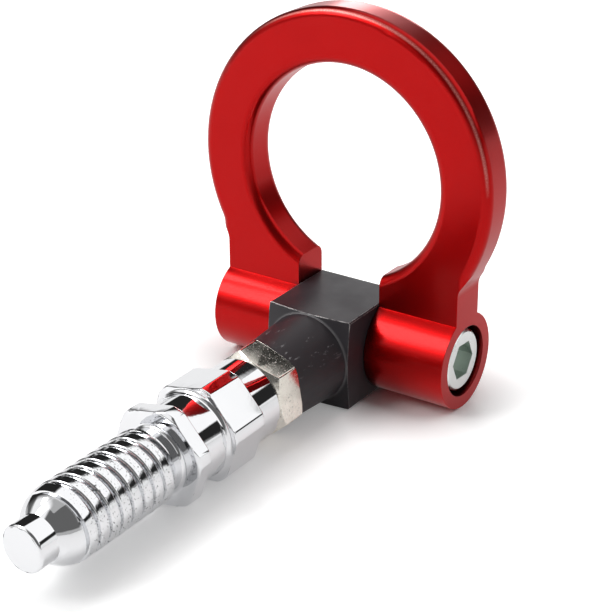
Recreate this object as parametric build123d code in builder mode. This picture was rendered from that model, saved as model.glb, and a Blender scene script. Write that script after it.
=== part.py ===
from build123d import *
import os

os.makedirs("parts", exist_ok=True)

# Screw-in tow eye with a swinging ring. Millimetres, +Z up.
# The screw axis is Y, with the thread towards -Y. The origin is on that axis in the flange's seat.

# Lengths along the screw axis, from the seat towards the ring
flange_length = 4.6
collar_length = 10.35
hex_length = 12.6
end_round_length = 9.9
nut_length = 9.7
shank_length = 20.7
block_front = 22.25

collar_start = flange_length
hex_start = collar_start + collar_length
end_round_start = hex_start + hex_length
adapter_end = end_round_start + end_round_length
nut_end = adapter_end + nut_length
block_start = nut_end + shank_length
pivot_y = block_start + block_front

# Lengths along the screw axis, from the seat towards the tip
relief_length = 4.6
thread_end = 34.55
nose_shoulder = 39.8
nose_lip = 42.2
pilot_start = 42.65
tip = 48.5

# Square bar of the block, which the other sections follow
block_width = 27.0

# Adapter
hex_across_flats = block_width - 1.1
hex_corner_radius = block_width / 2 + 0.7
hex_turn = 42.0
flange_chamfer = 0.55
hex_edge = 0.35
end_round_radius = block_width / 2 - 1.6
end_round_edge = 0.45
collar_radius = block_width / 2 - 1.8
collar_fillet = 1.35
relief_radius = 8.65
relief_fillet = 1.1
pilot_radius = 6.25
pilot_edge = 0.45
nose_shoulder_radius = 8.65
nose_lip_radius = 6.75

# Coarse right-hand screw thread
thread_radius = 10.25
thread_pitch = 4.0
groove_depth = 1.4
groove_root_width = 0.5
groove_width = 1.25
groove_spare = 0.5
groove_start = 2.45
groove_turns = 10
groove_clock = 127.4

# Stud that joins the block, the nut and the adapter
stud_radius = 8.0
stud_reach = 22.0
stud_hole_spare = 3.0
stud_chamfer = 1.2
screwed_clearance = 0.05

# Jam nut
nut_across_flats = block_width - 3.3
nut_front_chamfer = 1.5
nut_back_chamfer = 0.7
nut_turn = 9.45

# Eye block
block_face_slope = 0.2
block_edge = 0.4
block_back_chamfer = 7.9
shank_root_radius = block_width / 2 - 0.45
shank_end_radius = block_width / 2 - 1.8
shank_end_edge = 0.35
shank_root_bevel = 0.3

# Pivot bolt
bolt_radius = 6.0
bolt_length = 60.0
bolt_chamfer = 1.2
bolt_head_radius = 9.0
bolt_head_height = 12.0
bolt_head_edge = 0.7
bolt_head_sink = 0.83
socket_across_flats = 10.0
socket_depth = 6.0
socket_turn = 56.0
pivot_clearance = 0.05
lug_clearance = 0.3
counterbore_clearance = 1.35

# Swinging ring
side_gap = 0.15
lug_length = 25.0
lug_radius = block_width / 2 + 0.55
ring_height = 49.85
ring_outer_radius = 47.0
ring_hole_radius = 31.3
ring_thickness = 12.15
ring_edge_round = 2.7
ring_leg_fillet = 5.0
ring_lug_fillet = 1.35
ring_leg_foot = 3.4

lug_inner = block_width / 2 + side_gap
lug_outer = lug_inner + lug_length
blank_half_width = lug_outer + ring_edge_round
bolt_head_top = lug_outer - bolt_head_sink
bolt_head_seat = bolt_head_top - bolt_head_height
block_face_radius = shank_root_radius + shank_root_bevel
nut_corner_radius = nut_across_flats / 3**0.5
groove_mouth = groove_width + (groove_width - groove_root_width) * groove_spare / groove_depth

screw_axis = Axis.Y
pivot_axis = Axis((0, pivot_y, 0), (1, 0, 0))

# Path of the thread groove, a right-hand helix from the relief out past the nose, turn by turn
groove_first_turn = Pos(0, -groove_start, 0) * Rot(0, 270 - groove_clock, 0) * Helix(
    thread_pitch, thread_pitch, thread_radius, direction=(0, -1, 0)
)
groove_paths = [Pos(0, -thread_pitch * turn, 0) * groove_first_turn for turn in range(groove_turns)]
groove_point = groove_first_turn @ 0
groove_out = Vector(groove_point.X, 0, groove_point.Z)

# Adapter, one turned and milled piece
with BuildPart() as adapter:
    with BuildSketch(Plane.XY) as adapter_turning:
        with BuildLine():
            Polyline(
                (0, -tip),
                (pilot_radius - pilot_edge, -tip),
                (pilot_radius, -tip + pilot_edge),
                (pilot_radius, -pilot_start),
                (nose_lip_radius, -nose_lip),
            )
            # Bullet-shaped nose
            ThreePointArc(
                (nose_lip_radius, -nose_lip),
                (nose_shoulder_radius, -nose_shoulder),
                (thread_radius, -thread_end),
            )
            Polyline(
                (thread_radius, -thread_end),
                (thread_radius, -relief_length),
                (relief_radius, -relief_length),
                (relief_radius, 0),
                (hex_corner_radius - flange_chamfer * 2, 0),
                (hex_corner_radius, flange_chamfer),
                (hex_corner_radius, collar_start - hex_edge),
                (hex_corner_radius - hex_edge, collar_start),
                (collar_radius, collar_start),
                (collar_radius, hex_start),
                (hex_corner_radius - hex_edge, hex_start),
                (hex_corner_radius, hex_start + hex_edge),
                (hex_corner_radius, end_round_start - hex_edge),
                (hex_corner_radius - hex_edge, end_round_start),
                (end_round_radius, end_round_start),
                (end_round_radius, adapter_end - end_round_edge),
                (end_round_radius - end_round_edge, adapter_end),
                (0, adapter_end),
                (0, -tip),
            )
        make_face()
    revolve(axis=screw_axis)
    turned_edges = adapter.edges().filter_by(GeomType.CIRCLE)
    collar_root = turned_edges.filter_by(
        lambda e: abs(e.radius - collar_radius) < 0.01 and abs(e.center().Y - hex_start) < 0.01
    )
    fillet(collar_root, collar_fillet)
    relief_root = adapter.edges().filter_by(GeomType.CIRCLE).filter_by(
        lambda e: abs(e.radius - relief_radius) < 0.01 and abs(e.center().Y) < 0.01
    )
    fillet(relief_root, relief_fillet)
    # Wrench flats on the flange and on the long hexagon
    with BuildSketch(Plane.XZ) as flats:
        Circle(hex_corner_radius * 1.5)
        RegularPolygon(
            hex_across_flats / 2, 6, major_radius=False, rotation=hex_turn + 30, mode=Mode.SUBTRACT
        )
    extrude(amount=-end_round_start, mode=Mode.SUBTRACT)
    # Blind hole for the stud
    with BuildSketch(Plane.XZ.offset(-adapter_end)) as stud_hole:
        Circle(stud_radius + screwed_clearance)
    extrude(amount=stud_reach + stud_hole_spare, mode=Mode.SUBTRACT)
    # Coarse screw thread, its groove swept round the turned body
    for groove_path in groove_paths:
        with BuildSketch(Plane(groove_path @ 0, x_dir=groove_out, z_dir=groove_path % 0)) as groove_section:
            Polygon(
                (-groove_depth, -groove_root_width / 2),
                (groove_spare, -groove_mouth / 2),
                (groove_spare, groove_mouth / 2),
                (-groove_depth, groove_root_width / 2),
                align=None,
            )
        sweep(path=groove_path, is_frenet=True, mode=Mode.SUBTRACT)

adapter.part.label = "adapter"
export_step(adapter.part, "parts/adapter.step")

# Jam nut
with BuildPart() as jam_nut:
    with BuildSketch(Plane.XZ.offset(-adapter_end)) as nut_outline:
        RegularPolygon(nut_across_flats / 2, 6, major_radius=False, rotation=nut_turn + 30)
        Circle(stud_radius + screwed_clearance, mode=Mode.SUBTRACT)
    extrude(amount=-nut_length)
    with BuildSketch(Plane.XY) as nut_turning:
        with BuildLine():
            Polyline(
                (0, adapter_end),
                (nut_corner_radius - nut_front_chamfer * 3**0.5, adapter_end),
                (nut_corner_radius, adapter_end + nut_front_chamfer),
                (nut_corner_radius, nut_end - nut_back_chamfer),
                (nut_corner_radius - nut_back_chamfer * 3**0.5, nut_end),
                (0, nut_end),
                close=True,
            )
        make_face()
    revolve(axis=screw_axis, mode=Mode.INTERSECT)

jam_nut.part.label = "jam_nut"
export_step(jam_nut.part, "parts/jam_nut.step")

# Eye block with its tapered shank and stud
with BuildPart() as eye_block:
    with BuildSketch(Plane.YZ) as block_side:
        with BuildLine():
            Polyline(
                (block_start, -block_width / 2),
                (block_start, block_width / 2),
                (pivot_y + block_width / 2 - block_back_chamfer, block_width / 2),
                (pivot_y + block_width / 2, block_width / 2 - block_back_chamfer),
                (pivot_y + block_width / 2, -block_width / 2 + block_back_chamfer),
                (pivot_y + block_width / 2 - block_back_chamfer, -block_width / 2),
                close=True,
            )
        make_face()
    extrude(amount=block_width / 2, both=True)
    chamfer(eye_block.edges().filter_by(Axis.Y), block_edge)
    # Turned front face, sloping back towards the corners
    with BuildSketch(Plane.XY) as front_turning:
        with BuildLine():
            Polyline(
                (block_face_radius, block_start),
                (block_width, block_start),
                (block_width, block_start + (block_width - block_face_radius) * block_face_slope),
                close=True,
            )
        make_face()
    revolve(axis=screw_axis, mode=Mode.SUBTRACT)
    with BuildSketch(Plane.XY) as shank_turning:
        with BuildLine():
            Polyline(
                (0, adapter_end - stud_reach),
                (stud_radius - stud_chamfer, adapter_end - stud_reach),
                (stud_radius, adapter_end - stud_reach + stud_chamfer),
                (stud_radius, nut_end),
                (shank_end_radius - shank_end_edge, nut_end),
                (shank_end_radius, nut_end + shank_end_edge),
                (shank_root_radius, block_start - shank_root_bevel),
                (block_face_radius, block_start),
                (block_face_radius, pivot_y),
                (0, pivot_y),
                close=True,
            )
        make_face()
    revolve(axis=screw_axis)
    with BuildSketch(Plane.YZ) as pivot_bore:
        with Locations((pivot_y, 0)):
            Circle(bolt_radius + pivot_clearance)
    extrude(amount=block_width, both=True, mode=Mode.SUBTRACT)

eye_block.part.label = "eye_block"
export_step(eye_block.part, "parts/eye_block.step")

# Swinging ring with its two lugs
with BuildPart() as tow_ring:
    # Round-edged blank with stock left on the sides of the legs
    with BuildSketch(Plane.XZ.offset(-pivot_y)) as ring_blank:
        with Locations((0, ring_height)):
            Circle(ring_outer_radius)
        Rectangle(blank_half_width * 2, ring_height, align=(Align.CENTER, Align.MIN))
        # Nothing of the flat ring lies below the pivot
        Rectangle(
            ring_outer_radius * 2, ring_outer_radius, align=(Align.CENTER, Align.MAX), mode=Mode.SUBTRACT
        )
        blank_corners = ring_blank.vertices().filter_by(
            lambda v: abs(abs(v.X) - blank_half_width) < 0.01 and lug_radius < v.Y < ring_height - 1
        )
        fillet(blank_corners, ring_leg_fillet)
        with Locations((0, ring_height)):
            Circle(ring_hole_radius, mode=Mode.SUBTRACT)
        # Open fork between the legs
        Rectangle(lug_inner * 2, ring_height, align=(Align.CENTER, Align.MIN), mode=Mode.SUBTRACT)
    extrude(amount=ring_thickness / 2, both=True)
    face_edges = tow_ring.faces().filter_by(Axis.Y).edges()
    leg_edges = face_edges.filter_by(Axis.Z).filter_by(lambda e: abs(e.center().X) > lug_outer)
    fillet(face_edges.filter_by(GeomType.CIRCLE) + leg_edges, ring_edge_round)
    # Sides of the legs milled flat, flush with the ends of the lugs
    with BuildSketch(Plane.XZ.offset(-pivot_y)) as ring_outline:
        with Locations((0, ring_height)):
            Circle(ring_outer_radius)
        Rectangle(lug_outer * 2, ring_height, align=(Align.CENTER, Align.MIN))
        leg_corners = ring_outline.vertices().filter_by(
            lambda v: abs(abs(v.X) - lug_outer) < 0.01 and lug_radius < v.Y < ring_height - 1
        )
        fillet(leg_corners, ring_leg_fillet)
    extrude(amount=ring_thickness, both=True, mode=Mode.INTERSECT)
    # Round lugs on the pivot, with a small fillet up to each leg's flat faces
    with BuildSketch(Plane.YZ.offset(lug_inner), Plane.YZ.offset(-lug_outer)) as lug_outlines:
        with Locations((pivot_y, 0)):
            Circle(lug_radius)
    extrude(amount=lug_length)
    with BuildSketch(Plane.YZ.offset(lug_inner), Plane.YZ.offset(-lug_outer)) as leg_feet:
        with Locations((pivot_y, 0)):
            Circle(lug_radius)
            Rectangle(ring_thickness, lug_radius + ring_leg_foot, align=(Align.CENTER, Align.MIN))
        fillet(
            leg_feet.vertices().filter_by(lambda v: 1 < v.Z < lug_radius),
            ring_lug_fillet,
        )
    extrude(amount=lug_length)
    # Bolt hole in one lug, tapped hole in the other
    with BuildSketch(Plane.YZ) as bolt_hole:
        with Locations((pivot_y, 0)):
            Circle(bolt_radius + lug_clearance)
    extrude(amount=lug_outer, mode=Mode.SUBTRACT)
    with BuildSketch(Plane.YZ) as tapped_hole:
        with Locations((pivot_y, 0)):
            Circle(bolt_radius + screwed_clearance)
    extrude(amount=-lug_outer, mode=Mode.SUBTRACT)
    with BuildSketch(Plane.YZ.offset(bolt_head_seat)) as counterbore:
        with Locations((pivot_y, 0)):
            Circle(bolt_head_radius + counterbore_clearance)
    extrude(amount=lug_outer - bolt_head_seat, mode=Mode.SUBTRACT)

tow_ring.part.label = "tow_ring"
export_step(tow_ring.part, "parts/tow_ring.step")

# Socket-head pivot bolt
with BuildPart() as pivot_bolt:
    with BuildSketch(Plane.XY) as bolt_turning:
        with BuildLine():
            Polyline(
                (bolt_head_top, pivot_y),
                (bolt_head_top, pivot_y + bolt_head_radius - bolt_head_edge),
                (bolt_head_top - bolt_head_edge, pivot_y + bolt_head_radius),
                (bolt_head_seat, pivot_y + bolt_head_radius),
                (bolt_head_seat, pivot_y + bolt_radius),
                (bolt_head_seat - bolt_length + bolt_chamfer, pivot_y + bolt_radius),
                (bolt_head_seat - bolt_length, pivot_y + bolt_radius - bolt_chamfer),
                (bolt_head_seat - bolt_length, pivot_y),
                close=True,
            )
        make_face()
    revolve(axis=pivot_axis)
    with BuildSketch(Plane.YZ.offset(bolt_head_top)) as socket:
        with Locations((pivot_y, 0)):
            RegularPolygon(socket_across_flats / 2, 6, major_radius=False, rotation=socket_turn)
    extrude(amount=-socket_depth, mode=Mode.SUBTRACT)

pivot_bolt.part.label = "pivot_bolt"
export_step(pivot_bolt.part, "parts/pivot_bolt.step")
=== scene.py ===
import math
import bpy
import bmesh
from mathutils import Matrix, Vector


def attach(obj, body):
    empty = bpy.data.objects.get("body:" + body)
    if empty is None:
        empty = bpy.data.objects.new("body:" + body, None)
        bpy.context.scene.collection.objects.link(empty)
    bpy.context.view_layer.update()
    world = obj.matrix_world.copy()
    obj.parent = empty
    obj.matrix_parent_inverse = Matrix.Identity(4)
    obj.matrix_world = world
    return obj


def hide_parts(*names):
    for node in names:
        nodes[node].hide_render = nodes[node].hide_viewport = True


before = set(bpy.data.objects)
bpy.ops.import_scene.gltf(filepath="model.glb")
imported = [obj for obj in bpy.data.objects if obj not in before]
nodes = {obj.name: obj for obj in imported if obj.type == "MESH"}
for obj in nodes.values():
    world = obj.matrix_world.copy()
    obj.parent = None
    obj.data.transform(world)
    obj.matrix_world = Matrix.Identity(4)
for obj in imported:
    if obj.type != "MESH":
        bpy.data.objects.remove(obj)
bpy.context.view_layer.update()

# Sizes of the eye that its finishes and broken edges follow
MM = 0.001
PIVOT_Y = 90.1 * MM
RING_HEIGHT = 49.85 * MM
RING_OUTER = 47.0 * MM
RING_FRONT = PIVOT_Y - 6.075 * MM
LUG_RADIUS = 14.05 * MM
BLOCK_FRONT = 67.85 * MM
HEAD_TOP = 37.82 * MM
SOCKET_RADIUS = 5.9 * MM
COUNTERBORE_RADIUS = 10.35 * MM
BLOCK_HALF_WIDTH = 13.5 * MM
THREAD_RADIUS = 10.25 * MM
THREAD_FRONT = -37.5 * MM
THREAD_BACK = -5.6 * MM
TIP = -48.5 * MM
PILOT_RIM_INNER = 5.5 * MM
SCREW_HEAD_INNER = 9.0 * MM
SCREW_HEAD_FRONT = -1.0 * MM
SCREW_HEAD_BACK = 37.0 * MM
NUT_INNER = 9.0 * MM
NUT_FRONT = 30.0 * MM
NUT_BACK = 60.0 * MM
CREST_ROUND = 0.34 * MM
PILOT_ROUND = 0.2 * MM
SCREW_HEAD_ROUND = 0.22 * MM
NUT_ROUND = 0.25 * MM


# Node helpers
def new_material(name):
    mat = bpy.data.materials.new(name)
    mat.use_nodes = True
    tree = mat.node_tree
    tree.nodes.clear()
    out = tree.nodes.new("ShaderNodeOutputMaterial")
    bsdf = tree.nodes.new("ShaderNodeBsdfPrincipled")
    tree.links.new(bsdf.outputs[0], out.inputs["Surface"])
    coord = tree.nodes.new("ShaderNodeTexCoord")
    return mat, tree, bsdf, coord.outputs["Object"]


def noise(tree, vector, scale, detail=2.0, rough=0.5, stretch=None):
    if stretch:
        mapping = tree.nodes.new("ShaderNodeMapping")
        mapping.inputs["Scale"].default_value = stretch
        tree.links.new(vector, mapping.inputs["Vector"])
        vector = mapping.outputs["Vector"]
    node = tree.nodes.new("ShaderNodeTexNoise")
    node.inputs["Scale"].default_value = scale
    node.inputs["Detail"].default_value = detail
    node.inputs["Roughness"].default_value = rough
    tree.links.new(vector, node.inputs["Vector"])
    return node.outputs["Fac"]


def ramp(tree, value, low, high, out_low=0.0, out_high=1.0):
    node = tree.nodes.new("ShaderNodeMapRange")
    node.inputs["From Min"].default_value = low
    node.inputs["From Max"].default_value = high
    node.inputs["To Min"].default_value = out_low
    node.inputs["To Max"].default_value = out_high
    tree.links.new(value, node.inputs["Value"])
    return node.outputs["Result"]


def calc(tree, operation, a, b=None):
    node = tree.nodes.new("ShaderNodeMath")
    node.operation = operation
    for socket, value in zip(node.inputs, (a, b)):
        if value is None:
            continue
        if isinstance(value, (int, float)):
            socket.default_value = value
        else:
            tree.links.new(value, socket)
    return node.outputs[0]


def product(tree, *values):
    result = values[0]
    for value in values[1:]:
        result = calc(tree, "MULTIPLY", result, value)
    return result


def split(tree, vector):
    node = tree.nodes.new("ShaderNodeSeparateXYZ")
    tree.links.new(vector, node.inputs[0])
    return node.outputs["X"], node.outputs["Y"], node.outputs["Z"]


def distance(tree, a, b):
    total = calc(tree, "ADD", calc(tree, "MULTIPLY", a, a), calc(tree, "MULTIPLY", b, b))
    return calc(tree, "SQRT", total)


def blend_colour(tree, fac, a, b):
    node = tree.nodes.new("ShaderNodeMix")
    node.data_type = "RGBA"
    tree.links.new(fac, node.inputs["Factor"])
    for socket, value in ((node.inputs["A"], a), (node.inputs["B"], b)):
        if isinstance(value, tuple):
            socket.default_value = value + (1.0,)
        else:
            tree.links.new(value, socket)
    return node.outputs["Result"]


def rounded_edges(tree, radius):
    node = tree.nodes.new("ShaderNodeBevel")
    node.samples = 6
    node.inputs["Radius"].default_value = radius
    return node.outputs["Normal"]


def edge_mask(tree, radius, low, high):
    geometry = tree.nodes.new("ShaderNodeNewGeometry")
    dot = tree.nodes.new("ShaderNodeVectorMath")
    dot.operation = "DOT_PRODUCT"
    tree.links.new(rounded_edges(tree, radius), dot.inputs[0])
    tree.links.new(geometry.outputs["Normal"], dot.inputs[1])
    return ramp(tree, dot.outputs["Value"], low, high, 1.0, 0.0)


def bump(tree, bsdf, height, strength, depth, edge=None):
    node = tree.nodes.new("ShaderNodeBump")
    node.inputs["Strength"].default_value = strength
    node.inputs["Distance"].default_value = depth
    tree.links.new(height, node.inputs["Height"])
    if edge:
        tree.links.new(rounded_edges(tree, edge), node.inputs["Normal"])
    tree.links.new(node.outputs["Normal"], bsdf.inputs["Normal"])


# Red anodised ring: fine satin grain, a paler line along the front of its outer edge that is partly scuffed
# wear and partly a painted highlight, painted shade in a counterbore and beside the block
def red_anodised():
    mat, tree, bsdf, place = new_material("ring_red")
    x, y, z = split(tree, place)
    cloud = noise(tree, place, 55.0, 3.0)
    grain = noise(tree, place, 4200.0, 2.0)
    colour = blend_colour(tree, cloud, (0.40, 0.0012, 0.0016), (0.51, 0.0020, 0.0026))
    colour = blend_colour(tree, ramp(tree, grain, 0.3, 0.75, 0.0, 0.3), colour, (0.60, 0.005, 0.005))
    up = calc(tree, "SUBTRACT", z, RING_HEIGHT)
    reach = distance(tree, x, up)
    # The pale pink line on the round-over is partly scuffed wear and partly a painted highlight: its metal
    # is turned down so that it stays pale under any light
    line = calc(tree, "ABSOLUTE", calc(tree, "SUBTRACT", reach, RING_OUTER - 0.85 * MM))
    scuffed_highlight_line = ramp(tree, line, 0.05 * MM, 0.45 * MM, 1.0, 0.0)
    front = ramp(tree, y, RING_FRONT + 1.6 * MM, RING_FRONT + 2.4 * MM, 1.0, 0.0)
    upper = product(tree, ramp(tree, up, 2 * MM, 10 * MM), ramp(tree, x, -34 * MM, -22 * MM))
    broken = ramp(tree, noise(tree, place, 2600.0, 4.0, 0.7), 0.30, 0.62, 0.15, 0.75)
    scuff = product(tree, scuffed_highlight_line, front, upper, broken)
    colour = blend_colour(tree, scuff, colour, (0.88, 0.34, 0.30))
    from_pin = distance(tree, calc(tree, "SUBTRACT", y, PIVOT_Y), z)
    # Painted shade: the counterbore wall of the right lug is darkened to near black, where shade falls in
    # the recess
    painted_counterbore_shade = ramp(tree, from_pin, COUNTERBORE_RADIUS - 0.1 * MM, COUNTERBORE_RADIUS + 0.15 * MM, 0.95, 0.0)
    painted_counterbore_shade = product(tree, painted_counterbore_shade, ramp(tree, x, 15 * MM, 20 * MM))
    colour = blend_colour(tree, painted_counterbore_shade, colour, (0.03, 0.004, 0.004))
    # Painted shade: the lug barrels are darkened next to the block, where shade falls in the gap between
    # the parts
    painted_shade_beside_block = ramp(
        tree, calc(tree, "ABSOLUTE", x), BLOCK_HALF_WIDTH + 0.3 * MM, BLOCK_HALF_WIDTH + 3.2 * MM, 0.75, 0.0
    )
    on_lug = ramp(tree, from_pin, LUG_RADIUS, LUG_RADIUS + 1.5 * MM, 1.0, 0.0)
    painted_shade_beside_block = product(tree, painted_shade_beside_block, on_lug)
    colour = blend_colour(tree, painted_shade_beside_block, colour, (0.10, 0.006, 0.007))
    tree.links.new(colour, bsdf.inputs["Base Color"])
    tree.links.new(ramp(tree, scuff, 0.0, 1.0, 1.0, 0.15), bsdf.inputs["Metallic"])
    bsdf.inputs["Coat Weight"].default_value = 0.2
    bsdf.inputs["Coat Roughness"].default_value = 0.15
    tree.links.new(ramp(tree, cloud, 0.3, 0.7, 0.29, 0.35), bsdf.inputs["Roughness"])
    bump(tree, bsdf, grain, 0.16, 0.00004, 0.25 * MM)
    return mat


# Black oxide block: matt, with bare steel worn through along its edges and a few scuffs
def black_oxide():
    mat, tree, bsdf, place = new_material("block_black")
    y, z = split(tree, place)[1:]
    cloud = noise(tree, place, 110.0, 4.0)
    grain = noise(tree, place, 3200.0, 2.0)
    colour = blend_colour(tree, cloud, (0.017, 0.0145, 0.018), (0.029, 0.025, 0.030))
    worn = product(
        tree,
        edge_mask(tree, 0.55 * MM, 0.84, 0.975),
        ramp(tree, noise(tree, place, 300.0, 5.0, 0.7), 0.38, 0.52),
        ramp(tree, z, BLOCK_HALF_WIDTH - 3 * MM, BLOCK_HALF_WIDTH - 0.5 * MM, 0.22, 1.0),
    )
    colour = blend_colour(tree, worn, colour, (0.74, 0.72, 0.71))
    # Painted highlight: a pale grey ring where the shank meets the front face of the block
    painted_highlight_at_root = calc(tree, "ABSOLUTE", calc(tree, "SUBTRACT", y, BLOCK_FRONT - 0.15 * MM))
    painted_highlight_at_root = ramp(tree, painted_highlight_at_root, 0.1 * MM, 0.25 * MM, 0.55, 0.0)
    colour = blend_colour(tree, painted_highlight_at_root, colour, (0.15, 0.145, 0.15))
    streak = ramp(tree, noise(tree, place, 380.0, 6.0, 0.75, (1.0, 0.45, 1.6)), 0.60, 0.66)
    upper = product(tree, ramp(tree, z, 3 * MM, 7 * MM), ramp(tree, y, BLOCK_FRONT, BLOCK_FRONT - 4 * MM))
    scuff = product(tree, streak, upper)
    colour = blend_colour(tree, scuff, colour, (0.34, 0.34, 0.35))
    tree.links.new(colour, bsdf.inputs["Base Color"])
    tree.links.new(ramp(tree, worn, 0.0, 1.0, 0.0, 0.8), bsdf.inputs["Metallic"])
    bsdf.inputs["Specular IOR Level"].default_value = 0.45
    tree.links.new(ramp(tree, cloud, 0.3, 0.7, 0.46, 0.56), bsdf.inputs["Roughness"])
    bump(tree, bsdf, grain, 0.22, 0.00005, 0.3 * MM)
    return mat


# Chrome: a mirror with a slight ripple, and dark pits in the plating of the thread
def chrome():
    mat, tree, bsdf, place = new_material("adapter_chrome")
    y = split(tree, place)[1]
    cloud = noise(tree, place, 90.0, 3.0)
    colour = blend_colour(tree, cloud, (0.82, 0.825, 0.84), (0.90, 0.905, 0.92))
    on_thread = product(tree, ramp(tree, y, -2 * MM, -5 * MM), ramp(tree, y, -37 * MM, -34 * MM))
    pits = ramp(tree, noise(tree, place, 1900.0, 3.0, 0.6), 0.61, 0.65)
    colour = blend_colour(tree, product(tree, pits, on_thread), colour, (0.09, 0.09, 0.095))
    tree.links.new(colour, bsdf.inputs["Base Color"])
    bsdf.inputs["Metallic"].default_value = 1.0
    tree.links.new(ramp(tree, cloud, 0.3, 0.7, 0.025, 0.055), bsdf.inputs["Roughness"])
    ripple = noise(tree, place, 240.0, 3.0)
    coarse = noise(tree, place, 1400.0, 5.0, 0.65)
    rough_thread = product(tree, coarse, ramp(tree, on_thread, 0.0, 1.0, 0.0, 0.8))
    height = calc(tree, "ADD", product(tree, ripple, 0.3), rough_thread)
    bump(tree, bsdf, height, 0.35, 0.00008)
    return mat


# Nickel nut: warm, mottled by handling
def nickel():
    mat, tree, bsdf, place = new_material("nut_nickel")
    cloud = noise(tree, place, 230.0, 5.0, 0.65)
    colour = blend_colour(tree, ramp(tree, cloud, 0.35, 0.65), (0.78, 0.74, 0.66), (0.94, 0.90, 0.82))
    specks = ramp(tree, noise(tree, place, 1500.0, 3.0, 0.6), 0.60, 0.68)
    colour = blend_colour(tree, ramp(tree, specks, 0, 1, 0.0, 0.6), colour, (0.16, 0.145, 0.13))
    rubbed = ramp(tree, noise(tree, place, 1700.0, 4.0, 0.65), 0.59, 0.66)
    colour = blend_colour(tree, rubbed, colour, (0.96, 0.93, 0.87))
    tree.links.new(colour, bsdf.inputs["Base Color"])
    bsdf.inputs["Metallic"].default_value = 1.0
    smooth = ramp(tree, cloud, 0.3, 0.7, 0.07, 0.13)
    tree.links.new(calc(tree, "ADD", smooth, product(tree, rubbed, 0.3)), bsdf.inputs["Roughness"])
    bump(tree, bsdf, cloud, 0.15, 0.00005)
    return mat


# Zinc plated bolt: pale satin head, darker greenish key socket
def zinc():
    mat, tree, bsdf, place = new_material("bolt_steel")
    x, y, z = split(tree, place)
    cloud = noise(tree, place, 260.0, 4.0, 0.6)
    colour = blend_colour(tree, cloud, (0.93, 0.96, 0.95), (0.98, 1.0, 0.99))
    from_axis = distance(tree, calc(tree, "SUBTRACT", y, PIVOT_Y), z)
    inside = product(
        tree,
        ramp(tree, from_axis, SOCKET_RADIUS, SOCKET_RADIUS + 0.2 * MM, 1.0, 0.0),
        ramp(tree, x, HEAD_TOP - 0.25 * MM, HEAD_TOP - 0.05 * MM, 1.0, 0.0),
    )
    colour = blend_colour(tree, inside, colour, (0.74, 0.81, 0.76))
    tree.links.new(colour, bsdf.inputs["Base Color"])
    bsdf.inputs["Metallic"].default_value = 1.0
    tree.links.new(ramp(tree, cloud, 0.3, 0.7, 0.26, 0.38), bsdf.inputs["Roughness"])
    bump(tree, bsdf, noise(tree, place, 2600.0, 2.0), 0.12, 0.00004, 0.25 * MM)
    return mat


finishes = {
    "tow_ring": red_anodised(),
    "pivot_bolt": zinc(),
    "eye_block": black_oxide(),
    "jam_nut": nickel(),
    "adapter": chrome(),
}
for name, mat in finishes.items():
    nodes[name].data.materials.clear()
    nodes[name].data.materials.append(mat)


# Turned and milled pieces with their sharp outer edges broken, as they leave the workshop
def start_from(node, name):
    bpy.ops.object.select_all(action="DESELECT")
    piece = bpy.data.objects.new(name, nodes[node].data.copy())
    bpy.context.scene.collection.objects.link(piece)
    piece.select_set(True)
    bpy.context.view_layer.objects.active = piece
    bpy.ops.mesh.customdata_custom_splitnormals_clear()
    bpy.ops.object.mode_set(mode="EDIT")
    bpy.ops.mesh.select_mode(type="EDGE")
    bpy.ops.mesh.select_all(action="SELECT")
    bpy.ops.mesh.remove_doubles(threshold=0.001 * MM)
    bpy.ops.mesh.select_all(action="DESELECT")
    return piece


def radius_of(point):
    return math.hypot(point.x, point.z)


def break_edges(piece, inner, front, back, width, steps):
    mesh = bmesh.from_edit_mesh(piece.data)
    for edge in mesh.edges:
        turn = math.degrees(edge.calc_face_angle(0.0))
        outside = all(radius_of(v.co) > inner and front < v.co.y < back for v in edge.verts)
        edge.select = outside and edge.is_convex and 22 < turn < 100
    bmesh.update_edit_mesh(piece.data)
    bpy.ops.mesh.bevel(offset=width, segments=steps, profile=0.5, affect="EDGES", clamp_overlap=False)
    bpy.ops.mesh.select_all(action="DESELECT")


def finish_piece(piece, node):
    bpy.ops.object.mode_set(mode="OBJECT")
    bpy.ops.object.shade_smooth_by_angle(angle=math.radians(28))
    weighted = piece.modifiers.new("even shading", "WEIGHTED_NORMAL")
    weighted.keep_sharp = True
    bpy.ops.object.modifier_apply(modifier=weighted.name)
    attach(piece, "shank")
    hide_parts(node)


# Screw: round crests, none of them proud of the thread, then the pilot and the hexagons
screw = start_from("adapter", "screw_adapter")
break_edges(screw, THREAD_RADIUS - 0.15 * MM, THREAD_FRONT, THREAD_BACK, CREST_ROUND, 3)
for point in bmesh.from_edit_mesh(screw.data).verts:
    reach = radius_of(point.co)
    if point.co.y < THREAD_BACK and reach > THREAD_RADIUS:
        point.co.x *= THREAD_RADIUS / reach
        point.co.z *= THREAD_RADIUS / reach
break_edges(screw, PILOT_RIM_INNER, TIP - 1 * MM, TIP + 1 * MM, PILOT_ROUND, 2)
break_edges(screw, SCREW_HEAD_INNER, SCREW_HEAD_FRONT, SCREW_HEAD_BACK, SCREW_HEAD_ROUND, 2)
finish_piece(screw, "adapter")

# Lock nut
nut = start_from("jam_nut", "lock_nut")
break_edges(nut, NUT_INNER, NUT_FRONT, NUT_BACK, NUT_ROUND, 2)
finish_piece(nut, "jam_nut")

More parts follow.
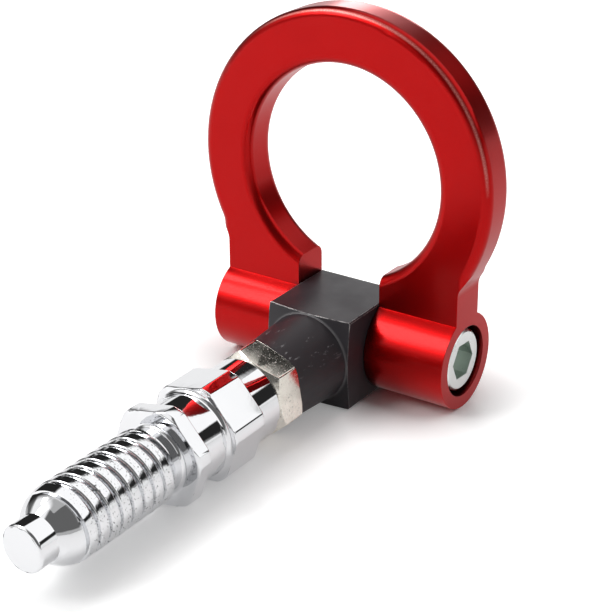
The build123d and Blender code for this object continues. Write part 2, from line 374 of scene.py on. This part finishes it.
# Floor: white, with less of its own glow close to the eye and none beside the lugs, which paints shade
# around the eye on top of its real shadow
bpy.ops.object.select_all(action="DESELECT")
bpy.ops.mesh.primitive_plane_add(size=6.0, location=(0, 0, -LUG_RADIUS))
floor = bpy.context.object
floor.name = "floor"
bpy.ops.object.transform_apply(location=True, rotation=True, scale=True)
mat, tree, bsdf, place = new_material("floor_white")
tree.links.new(
    blend_colour(tree, noise(tree, place, 8.0, 2.0), (0.89, 0.89, 0.89), (0.91, 0.91, 0.91)),
    bsdf.inputs["Base Color"],
)
bsdf.inputs["Roughness"].default_value = 0.6
bsdf.inputs["Emission Color"].default_value = (1, 1, 1, 1)
path = tree.nodes.new("ShaderNodeLightPath")
x, y = split(tree, place)[:2]
past_ends = calc(tree, "MAXIMUM", calc(tree, "SUBTRACT", y, PIVOT_Y), calc(tree, "SUBTRACT", TIP, y))
from_screw = distance(tree, calc(tree, "SUBTRACT", x, 6 * MM), calc(tree, "MAXIMUM", past_ends, 0.0))
past_block = calc(tree, "MAXIMUM", calc(tree, "SUBTRACT", calc(tree, "ABSOLUTE", x), 28 * MM), 0.0)
from_lugs = distance(tree, past_block, calc(tree, "SUBTRACT", y, PIVOT_Y - 4 * MM))
# Painted shade: the floor's glow is lowered near the screw and cut to nothing beside the lugs
glow_with_painted_shade_near_eye = calc(
    tree,
    "MINIMUM",
    ramp(tree, from_screw, 5 * MM, 17 * MM, 0.45, 1.0),
    ramp(tree, from_lugs, 9 * MM, 30 * MM, 0.0, 1.0),
)
lift = calc(
    tree,
    "ADD",
    product(tree, path.outputs["Is Camera Ray"], glow_with_painted_shade_near_eye, 0.52),
    product(tree, path.outputs["Is Glossy Ray"], 0.12),
)
tree.links.new(lift, bsdf.inputs["Emission Strength"])
floor.data.materials.append(mat)

# Surroundings: white to the camera, and a studio room to everything else. The room is pale low on
# the left, dark above that, and has a white screen on the right above a dark band
world = bpy.data.worlds.new("surroundings")
bpy.context.scene.world = world
world.use_nodes = True
tree = world.node_tree
tree.nodes.clear()
out = tree.nodes.new("ShaderNodeOutputWorld")
white = tree.nodes.new("ShaderNodeBackground")
white.inputs["Color"].default_value = (1, 1, 1, 1)
white.inputs["Strength"].default_value = 1.0
room = tree.nodes.new("ShaderNodeBackground")
room.inputs["Strength"].default_value = 1.0
direction = tree.nodes.new("ShaderNodeTexCoord").outputs["Generated"]
east, north, height = split(tree, direction)


def room_side(stops):
    node = tree.nodes.new("ShaderNodeValToRGB")
    tree.links.new(height, node.inputs["Fac"])
    stripes = node.color_ramp.elements
    while len(stripes) < len(stops):
        stripes.new(0.5)
    for stripe, (place, level) in zip(stripes, stops):
        stripe.position = place
        stripe.color = (level, level, level, 1.0)
    return node.outputs["Color"]


low_left = room_side([(0.0, 0.95), (0.21, 0.95), (0.25, 0.02), (0.90, 0.02)])
far_left = room_side([(0.0, 0.95), (0.02, 0.95), (0.04, 0.02), (0.90, 0.02)])
low_left = blend_colour(tree, ramp(tree, east, -0.725, -0.745), low_left, far_left)
low_right = room_side([(0.0, 0.9), (0.06, 0.9), (0.075, 0.02), (0.90, 0.02)])
far_right = room_side([(0.0, 0.9), (0.16, 0.9), (0.21, 0.02), (0.90, 0.02)])
low_right = blend_colour(tree, ramp(tree, east, 0.715, 0.745), low_right, far_right)
room_colour = blend_colour(tree, ramp(tree, east, -0.07, 0.0), low_left, low_right)
rightwards = calc(tree, "MAXIMUM", east, 0.0)
hem = calc(
    tree,
    "MAXIMUM",
    calc(tree, "SUBTRACT", 0.70, product(tree, rightwards, 0.54)),
    calc(tree, "SUBTRACT", 0.60, product(tree, rightwards, 0.29)),
)
screen = product(
    tree, ramp(tree, calc(tree, "SUBTRACT", height, hem), -0.012, 0.012), ramp(tree, east, -0.50, -0.42)
)
room_colour = blend_colour(tree, screen, room_colour, (1.1, 1.1, 1.1))
front = room_side([(0.0, 0.45), (0.10, 0.45), (0.14, 0.13), (0.90, 0.13)])
panel = product(
    tree,
    product(tree, ramp(tree, east, -0.93, -0.86), ramp(tree, east, -0.12, -0.22)),
    product(tree, ramp(tree, height, 0.17, 0.24), ramp(tree, height, 0.95, 0.85)),
)
front = blend_colour(tree, panel, front, (1.0, 1.0, 1.0))
room_colour = blend_colour(tree, ramp(tree, north, -0.1, 0.1), front, room_colour)
tree.links.new(room_colour, room.inputs["Color"])
path = tree.nodes.new("ShaderNodeLightPath")
mix = tree.nodes.new("ShaderNodeMixShader")
tree.links.new(path.outputs["Is Camera Ray"], mix.inputs[0])
tree.links.new(room.outputs[0], mix.inputs[1])
tree.links.new(white.outputs[0], mix.inputs[2])
tree.links.new(mix.outputs[0], out.inputs["Surface"])


# Softboxes
def softbox(name, place, aim, width, height, power):
    data = bpy.data.lights.new(name, "AREA")
    data.shape = "RECTANGLE"
    data.size = width
    data.size_y = height
    data.energy = power
    lamp = bpy.data.objects.new(name, data)
    bpy.context.scene.collection.objects.link(lamp)
    lamp.location = place
    lamp.rotation_euler = (Vector(aim) - Vector(place)).to_track_quat("-Z", "Y").to_euler()
    lamp.visible_camera = False


target = (0, 0.03, 0.02)
softbox("key", (-0.735, -0.832, 0.998), target, 0.45, 0.85, 9.0)
softbox("left", (-0.894, -0.295, 1.114), target, 0.3, 0.3, 2.5)
softbox("back left", (-0.40, 0.95, 0.35), (0, 0.09, 0.014), 0.35, 0.2, 1.3)
softbox("overhead", (-0.15, -0.35, 1.5), target, 1.0, 1.0, 1.0)

# Camera
az = math.radians(33.351)
el = math.radians(22.795)
right = Vector((math.cos(az), math.sin(az), 0))
back = Vector((math.sin(az) * math.cos(el), -math.cos(az) * math.cos(el), math.sin(el)))
up = back.cross(right)
cam_data = bpy.data.cameras.new("camera")
cam_data.lens = 93.19
cam_data.sensor_width = 36.0
cam_data.shift_x = -0.0326
cam_data.shift_y = -0.0943
cam_data.clip_start = 0.01
camera = bpy.data.objects.new("camera", cam_data)
bpy.context.scene.collection.objects.link(camera)
turn = Matrix((right, up, back)).transposed().to_4x4()
camera.matrix_world = Matrix.Translation((0.223556, PIVOT_Y - 0.355355, 0.201817)) @ turn
bpy.context.scene.camera = camera
bpy.context.scene.view_settings.view_transform = "Standard"
